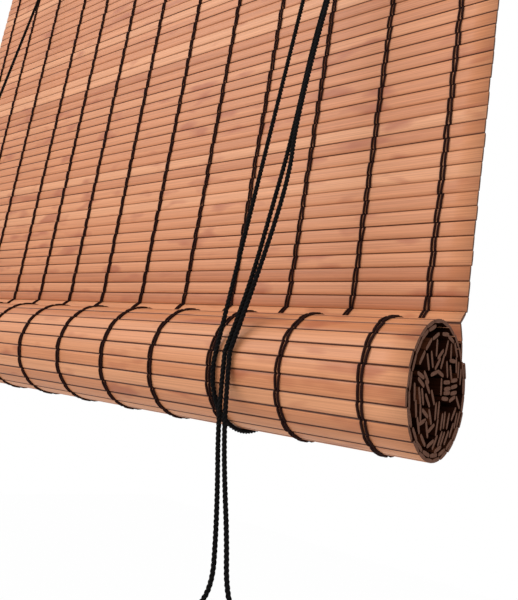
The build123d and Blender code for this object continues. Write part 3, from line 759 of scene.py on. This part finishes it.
def makeThreads():
    rng = random.Random(thread["seed"])
    upper, lower, inBend, outer = ([], []), ([], []), ([], []), ([], [])
    for index in range(mat["hanging"]):
        addThreads(upper if index < fixedCount else lower, *wholePitch(index), index, frontAndBack, rng)
    for index, (start, end) in enumerate(zip(bendChain, bendChain[1:])):
        addThreads(inBend, start, end, index, frontAndBack, rng)
    outerJoints = rollJoints[:roll["outerSlats"] + 1]
    for index, (start, end) in enumerate(zip(outerJoints, outerJoints[1:])):
        addThreads(outer, placed(start), placed(end), index, outerFace, rng)
    newPiece("threadsUpper", *upper, [darkThread], "root", "thread", ["threads_upper"])
    lowerPiece = newPiece("threadsLower", *lower, [darkThread], "root", "thread", ["threads_lower"])
    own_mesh(lowerPiece)
    newPiece("threadsBend", *inBend, [darkThread], "carriage", "thread", ["threads_bend"])
    newPiece("threadsRoll", *outer, [darkThread], "rolled_mat", "thread", ["roll_threads"])


makeThreads()
print("threads made")

# Fittings keep their frame shapes and get their finishes here
fittingFinishes = [
    (railWood, ["head_rail", "back_strip"]),
    (screwSteel, ["clamp_screws", "hanger_screws", "housing_screws", "anchor_eyes",
                  "pulley_axle", "guide_axle", "lock_axle", "cam_axle"]),
    (bronzePaint, ["hanger_left", "hanger_right", "pulley_housing", "lock_housing"]),
    (wheelPlastic, ["pulley_wheel", "guide_wheel", "lock_wheel"]),
    (camBrass, ["lock_cam"]),
    (blackTape, ["coil_tie"]),
]
for finish, members in fittingFinishes:
    for member in members:
        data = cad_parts[member].data
        data.materials.clear()
        data.materials.append(finish)
print("fittings finished")

# Plain studio: pale floor and soft light from the front left
studio = {"floorZ": -1.8, "floorSize": 6.0, "floorColour": (0.9, 0.9, 0.9), "floorRoughness": 0.9,
          "floorGlow": 0.98, "ambient": 0.68, "aim": (0.1, 0.0, -0.35),
          "keyPlace": (-0.9, -1.7, 0.9), "keySize": 1.6, "keyPower": 27.0,
          "fillPlace": (1.5, -1.5, -0.1), "fillSize": 1.8, "fillPower": 2.5}


def makeFloor():
    half = studio["floorSize"]
    mesh = bpy.data.meshes.new("studioFloor")
    corners = [(-half, -half), (half, -half), (half, half), (-half, half)]
    mesh.from_pydata([(x, y, studio["floorZ"]) for x, y in corners], [], [(0, 1, 2, 3)])
    material, nodes, links, shader = newMaterial("paleFloor", studio["floorRoughness"])
    shader.inputs["Base Color"].default_value = (*studio["floorColour"], 1.0)
    glow = nodes.new("ShaderNodeEmission")
    rays = nodes.new("ShaderNodeLightPath")
    share = nodes.new("ShaderNodeMath")
    share.operation = "MULTIPLY"
    share.inputs[1].default_value = studio["floorGlow"]
    mix = nodes.new("ShaderNodeMixShader")
    links.new(rays.outputs["Is Camera Ray"], share.inputs[0])
    links.new(share.outputs[0], mix.inputs["Fac"])
    links.new(shader.outputs[0], mix.inputs[1])
    links.new(glow.outputs[0], mix.inputs[2])
    links.new(mix.outputs[0], nodes["Material Output"].inputs["Surface"])
    mesh.materials.append(material)
    floor = bpy.data.objects.new("studioFloor", mesh)
    bpy.context.scene.collection.objects.link(floor)


def makeLamp(word):
    data = bpy.data.lights.new(word + "Light", "AREA")
    data.size = studio[word + "Size"]
    data.energy = studio[word + "Power"]
    lamp = bpy.data.objects.new(word + "Light", data)
    lamp.location = studio[word + "Place"]
    aim = Vector(studio["aim"]) - Vector(studio[word + "Place"])
    lamp.rotation_euler = aim.to_track_quat("-Z", "Y").to_euler()
    bpy.context.scene.collection.objects.link(lamp)


def makeWorld():
    world = bpy.data.worlds.new("studioWorld")
    bpy.context.scene.world = world
    world.use_nodes = True
    nodes, links = world.node_tree.nodes, world.node_tree.links
    light = nodes["Background"]
    light.inputs["Color"].default_value = (1.0, 1.0, 1.0, 1.0)
    light.inputs["Strength"].default_value = studio["ambient"]
    shown = nodes.new("ShaderNodeBackground")
    shown.inputs["Color"].default_value = (1.0, 1.0, 1.0, 1.0)
    rays = nodes.new("ShaderNodeLightPath")
    mix = nodes.new("ShaderNodeMixShader")
    links.new(rays.outputs["Is Camera Ray"], mix.inputs["Fac"])
    links.new(light.outputs[0], mix.inputs[1])
    links.new(shown.outputs[0], mix.inputs[2])
    links.new(mix.outputs[0], nodes["World Output"].inputs["Surface"])


makeFloor()
makeLamp("key")
makeLamp("fill")
makeWorld()
bpy.context.scene.view_settings.view_transform = "Standard"
print("studio made")
